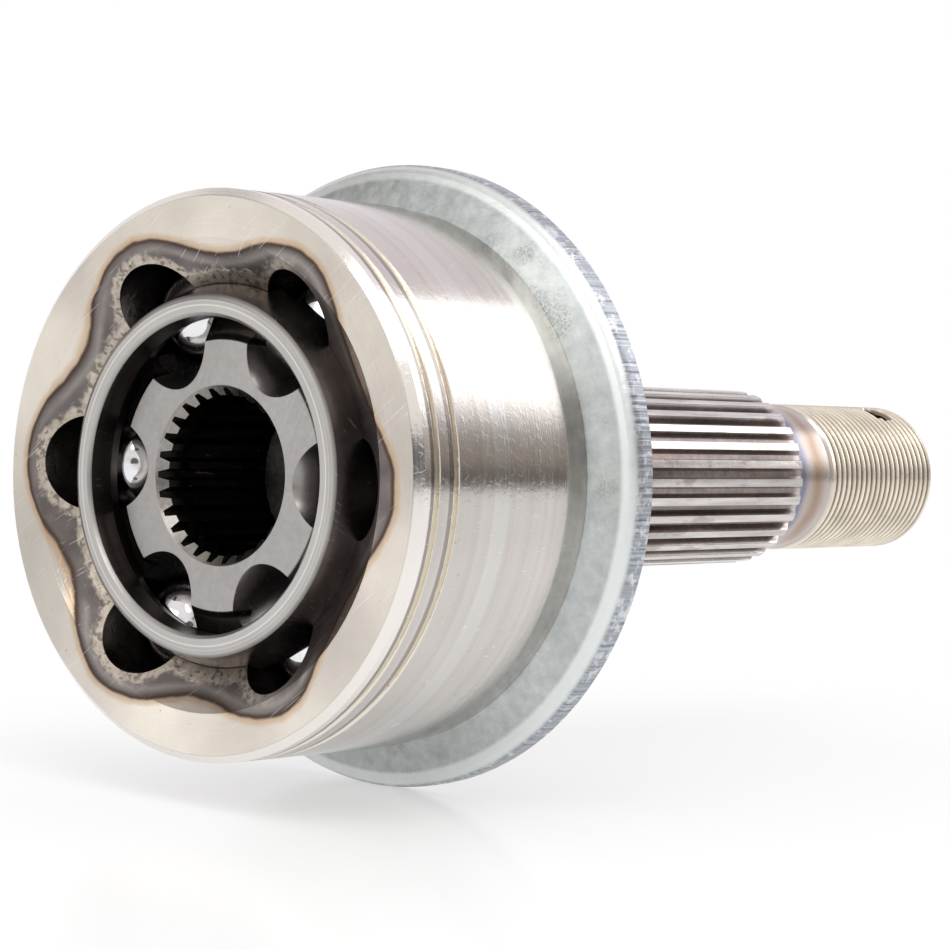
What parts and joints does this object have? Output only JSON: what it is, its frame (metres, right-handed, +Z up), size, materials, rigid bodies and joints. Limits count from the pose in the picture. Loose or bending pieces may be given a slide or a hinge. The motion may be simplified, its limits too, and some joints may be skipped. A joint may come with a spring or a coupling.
{
  "type": "cv joint",
  "caption": "Fixed ball-type outer constant-velocity joint with a bell housing, splined and threaded stub axle, dust shield, ball cage, inner race and balls.",
  "frame": {"origin": "joint centre, where the axes of the axle and of the stub axle cross", "axes": "+X along the stub axle from the joint centre towards its thread, +Z up, +Y through the centre of one ball track"},
  "size_m": [0.1657, 0.087, 0.087],
  "materials": {
    "bell_steel": "turned bare steel with heat tint at the mouth and the thread relief",
    "shield_zinc": "pressed and plated sheet steel, satin",
    "cage_steel": "ground hardened steel",
    "race_steel": "machined and hardened steel",
    "ball_steel": "polished bearing steel"
  },
  "bodies": {
    "outer_race": {"outer_race": "bell_steel", "dust_shield": "shield_zinc"},
    "cage": {"cage": "cage_steel"},
    "inner_race": {"inner_race": "race_steel"},
    "ball_1": {"ball_1": "ball_steel"},
    "ball_2": {"ball_2": "ball_steel"},
    "ball_3": {"ball_3": "ball_steel"},
    "ball_4": {"ball_4": "ball_steel"},
    "ball_5": {"ball_5": "ball_steel"},
    "ball_6": {"ball_6": "ball_steel"}
  },
  "joints": [
    {"name": "race_tilt", "type": "hinge", "parent": "outer_race", "child": "inner_race", "pos_m": [0, 0, 0], "axis": [0, 0, 1], "range_deg": [-45, 45]},
    {"name": "cage_tilt", "type": "hinge", "parent": "outer_race", "child": "cage", "pos_m": [0, 0, 0], "axis": [0, 0, 1], "range_deg": [-22.6, 22.6]},
    {"name": "ball_1_track", "type": "hinge", "parent": "outer_race", "child": "ball_1", "pos_m": [-0.004, 0, 0], "axis": [0, 0, -1], "range_deg": [-22.6, 22.6]},
    {"name": "ball_2_track", "type": "hinge", "parent": "outer_race", "child": "ball_2", "pos_m": [-0.004, 0, 0], "axis": [0, 0.866, -0.5], "range_deg": [-11.7, 11.7]},
    {"name": "ball_3_track", "type": "hinge", "parent": "outer_race", "child": "ball_3", "pos_m": [-0.004, 0, 0], "axis": [0, 0.866, 0.5], "range_deg": [-11.7, 11.7]},
    {"name": "ball_4_track", "type": "hinge", "parent": "outer_race", "child": "ball_4", "pos_m": [-0.004, 0, 0], "axis": [0, 0, 1], "range_deg": [-22.6, 22.6]},
    {"name": "ball_5_track", "type": "hinge", "parent": "outer_race", "child": "ball_5", "pos_m": [-0.004, 0, 0], "axis": [0, -0.866, 0.5], "range_deg": [-11.7, 11.7]},
    {"name": "ball_6_track", "type": "hinge", "parent": "outer_race", "child": "ball_6", "pos_m": [-0.004, 0, 0], "axis": [0, -0.866, -0.5], "range_deg": [-11.7, 11.7]}
  ],
  "couplings": [
    {"joint": "cage_tilt", "follows": "race_tilt", "ratio": 0.5},
    {"joint": "ball_1_track", "follows": "race_tilt", "ratio": -0.5},
    {"joint": "ball_2_track", "follows": "race_tilt", "ratio": -0.2592},
    {"joint": "ball_3_track", "follows": "race_tilt", "ratio": 0.2592},
    {"joint": "ball_4_track", "follows": "race_tilt", "ratio": 0.5},
    {"joint": "ball_5_track", "follows": "race_tilt", "ratio": 0.2592},
    {"joint": "ball_6_track", "follows": "race_tilt", "ratio": -0.2592}
  ]
}
